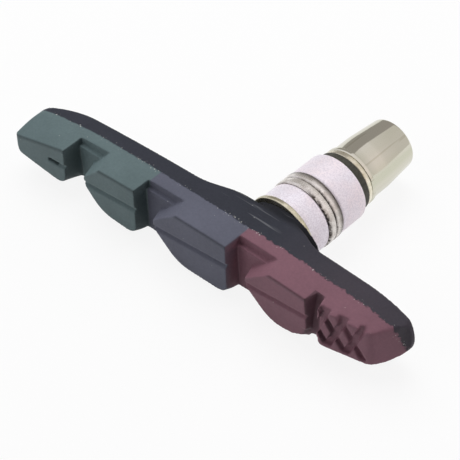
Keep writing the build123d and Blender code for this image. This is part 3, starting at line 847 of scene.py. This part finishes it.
def cleaned(piece):
    """Turns a mesh into triangles, without pairs that lie on each other or flaps that hang on one edge."""
    bmesh.ops.triangulate(piece, faces=piece.faces)
    bmesh.ops.remove_doubles(piece, verts=piece.verts, dist=CUT_WELD * MM)
    twins = {}
    for face in piece.faces:
        twins.setdefault(frozenset(face.verts), []).append(face)
    doubled = [face for faces in twins.values() for face in faces[len(faces) % 2:]]
    bmesh.ops.delete(piece, geom=doubled, context="FACES")
    crowded = [edge for edge in piece.edges if len(edge.link_faces) > 2]
    beside = {face for edge in crowded for face in edge.link_faces}
    flaps = [face for face in beside if any(edge.is_boundary for edge in face.edges)]
    bmesh.ops.delete(piece, geom=flaps, context="FACES")
    closed(piece)


def moulded(node, whole, start, end, side, slot):
    """Part of the melted rubber for a CAD node, between two places along the pad.

    It lies behind the seam where side is 1, and in front of it where side is -1.
    """
    piece = bmesh.new()
    piece.from_mesh(whole)
    for vertex in piece.verts:
        vertex.co.y -= seam_place(vertex.co.x)
    cut(piece, (0, 0, 0), (0, -side, 0))
    for vertex in piece.verts:
        vertex.co.y += seam_place(vertex.co.x)
    if start is not None:
        cut(piece, (start * MM, 0, 0), (-1, 0, 0))
    if end is not None:
        cut(piece, (end * MM, 0, 0), (1, 0, 0))
    cleaned(piece)
    mesh = bpy.data.meshes.new(node + "_moulded")
    piece.to_mesh(mesh)
    piece.free()
    dress(bpy.data.objects.new(node + "_moulded", mesh), "pad", slot, rubber(slot, back=side > 0), node)


def pad():
    """The four moulded pieces of rubber."""
    whole = melted(["green_compound", "grey_compound", "red_compound", "backing_compound"])
    moulded("green_compound", whole, None, SECOND_WALL_X, -1, "green_rubber")
    moulded("grey_compound", whole, SECOND_WALL_X, THIRD_WALL_X, -1, "grey_rubber")
    moulded("red_compound", whole, THIRD_WALL_X, None, -1, "red_rubber")
    moulded("backing_compound", whole, None, None, 1, "black_rubber")
    bpy.data.meshes.remove(whole)


def plain(node, material):
    """Gives a CAD node its material."""
    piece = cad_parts[node]
    piece.data.materials.clear()
    piece.data.materials.append(material)


def camera():
    """Camera at the photograph's angle."""
    angles = (CAMERA_AZIMUTH, CAMERA_ELEVATION, CAMERA_ROLL)
    azimuth, elevation, roll = (math.radians(angle) for angle in angles)
    back = Vector((
        math.sin(azimuth) * math.cos(elevation), -math.cos(azimuth) * math.cos(elevation), math.sin(elevation),
    ))
    level = Vector((math.cos(azimuth), math.sin(azimuth), 0))
    upright = back.cross(level)
    right = level * math.cos(roll) - upright * math.sin(roll)
    up = level * math.sin(roll) + upright * math.cos(roll)
    data = bpy.data.cameras.new("camera")
    data.lens = CAMERA_LENS
    data.sensor_width = CAMERA_SENSOR
    data.clip_start = CAMERA_CLIP
    eye = bpy.data.objects.new("camera", data)
    turn = Matrix((right, up, back)).transposed().to_4x4()
    eye.matrix_world = Matrix.Translation(Vector(CAMERA_PLACE) * MM) @ turn
    bpy.context.scene.collection.objects.link(eye)
    bpy.context.scene.camera = eye


def lamp(name, place, size, power, colour):
    """Square soft lamp that faces the object; metal shows the room and not the lamp."""
    data = bpy.data.lights.new(name, "AREA")
    data.size = size
    data.energy = power
    data.color = colour
    made = bpy.data.objects.new(name, data)
    made.location = place
    made.rotation_euler = (Vector((0, 0, 0)) - Vector(place)).to_track_quat("-Z", "Y").to_euler()
    made.visible_glossy = False
    bpy.context.scene.collection.objects.link(made)


def seen(nodes):
    """1 for rays from the camera, off metal or through glass, 0 for plain light."""
    path = nodes.node("LightPath").outputs
    glossy = nodes.math("MAXIMUM", path["Is Glossy Ray"], path["Is Transmission Ray"])
    return nodes.math("MAXIMUM", path["Is Camera Ray"], glossy)


def room(nodes):
    """Colour of the room: cool to warm from left to right, greyer behind the nut, with a screen on its left."""
    x, y, z = nodes.xyz()
    walls = nodes.mix(nodes.ramp(x, -WALL_TURN, WALL_TURN), COOL_WALL, WARM_WALL)
    across, up = SCREEN_SIDE
    aside = nodes.math("ADD", nodes.math("MULTIPLY", x, across), nodes.math("MULTIPLY", z, up))
    screen = nodes.math("MULTIPLY", nodes.ramp(aside, 0.0, SCREEN_BLUR), nodes.ramp(y, *SCREEN_EDGE))
    walls = nodes.mix(nodes.ramp(y, *BACK_EDGE), walls, BACK_WALL)
    walls = nodes.mix(screen, walls, SCREEN)
    return nodes.mix(nodes.node("LightPath").outputs["Is Camera Ray"], walls, WHITE)


def studio():
    """World: a weak sky for light, plain white to the camera, and a pale room to metal."""
    world = bpy.data.worlds.new("studio")
    bpy.context.scene.world = world
    world.use_nodes = True
    nodes = Nodes(world.node_tree, "Generated")
    sky = nodes.node("Background", {"Color": SKY, "Strength": SKY_STRENGTH}).outputs[0]
    walls = nodes.node("Background", {"Color": room(nodes), "Strength": 1.0}).outputs[0]
    both = nodes.node("MixShader", {0: seen(nodes), 1: sky, 2: walls}).outputs[0]
    nodes.put(nodes.tree.nodes["World Output"].inputs["Surface"], both)


def lighting():
    """A broad soft lamp above the back of the pad on its left, and weak ones from the front and the right."""
    studio()
    for name, place, size, power, colour in LAMPS:
        lamp(name, place, size, power, colour)


def floor():
    """Plain pale floor, nearly white to the camera and to metal, that keeps the object's shadow."""
    level = CAD_BOX[0].z - FLOOR_GAP * MM
    mesh = bpy.data.meshes.new("floor")
    corners = [(FLOOR_REACH * x, FLOOR_REACH * y, level) for x, y in ((-1, -1), (1, -1), (1, 1), (-1, 1))]
    mesh.from_pydata(corners, [], [(0, 1, 2, 3)])
    ground = bpy.data.objects.new("floor", mesh)
    bpy.context.scene.collection.objects.link(ground)
    shader = Shader("floor")
    shader.set(Base_Color=FLOOR_COLOUR, Roughness=0.9, Specular_IOR_Level=0.1)
    white = shader.node("Emission", {"Color": WHITE, "Strength": 1.0}).outputs[0]
    share = shader.math("MULTIPLY", seen(shader), FLOOR_WHITE)
    both = shader.node("MixShader", {0: share, 1: shader.main.outputs[0], 2: white}).outputs[0]
    shader.put(shader.tree.nodes["Material Output"].inputs["Surface"], both)
    ground.data.materials.append(shader.material)


def cup_grime_and_shade():
    """Joints of the cups with dirt and painted shade, as joint_grime_and_shade takes them."""
    first, second = span("pad_side_cup_washer"), span("nut_side_cup_washer")
    return (first[0], 0.6, 1.0, 0.0), (first[1], 0.3, 0.9, 0.5), (second[1], 1.0, 1.0, 0.9)


def seat_grime_and_shade():
    """Joints of the washer under the nut with dirt and painted shade, as joint_grime_and_shade takes them."""
    low, high, _ = span("nut_seat_washer")
    return (low, 0.25, 0.8, 0.5), (high, 0.2, 0.8, 0.4)


def build():
    """Every visible piece of the object."""
    pad()
    steel, satin = plain_steel(), satin_metal()
    nickel = cup_nickel(cup_grime_and_shade())
    boss_zinc = zinc("yellow_zinc", linear(226, 220, 196), linear(190, 185, 160))
    seat_zinc = zinc("worn_zinc", linear(238, 232, 214), linear(206, 198, 172), seat_grime_and_shade())
    plain("backing_plate", steel)
    flat_washer("pad_side_flat_washer", "pad", "yellow_zinc", boss_zinc)
    convex_washer("pad_side_convex_washer", 1, "pad", satin)
    cup_washer("pad_side_cup_washer", 1, "pad", nickel)
    cup_washer("nut_side_cup_washer", -1, "nut_side_washers", nickel)
    convex_washer("nut_side_convex_washer", -1, "nut_side_washers", satin)
    flat_washer("dark_spacer_washer", "nut_side_washers", "dark_spacer", dark_spacer())
    flat_washer("nut_seat_washer", "nut_side_washers", "yellow_zinc", seat_zinc)
    barrel_nut(nut_nickel())
    threaded_stud(steel)


build()
camera()
lighting()
floor()
bpy.context.scene.view_settings.view_transform = "Standard"
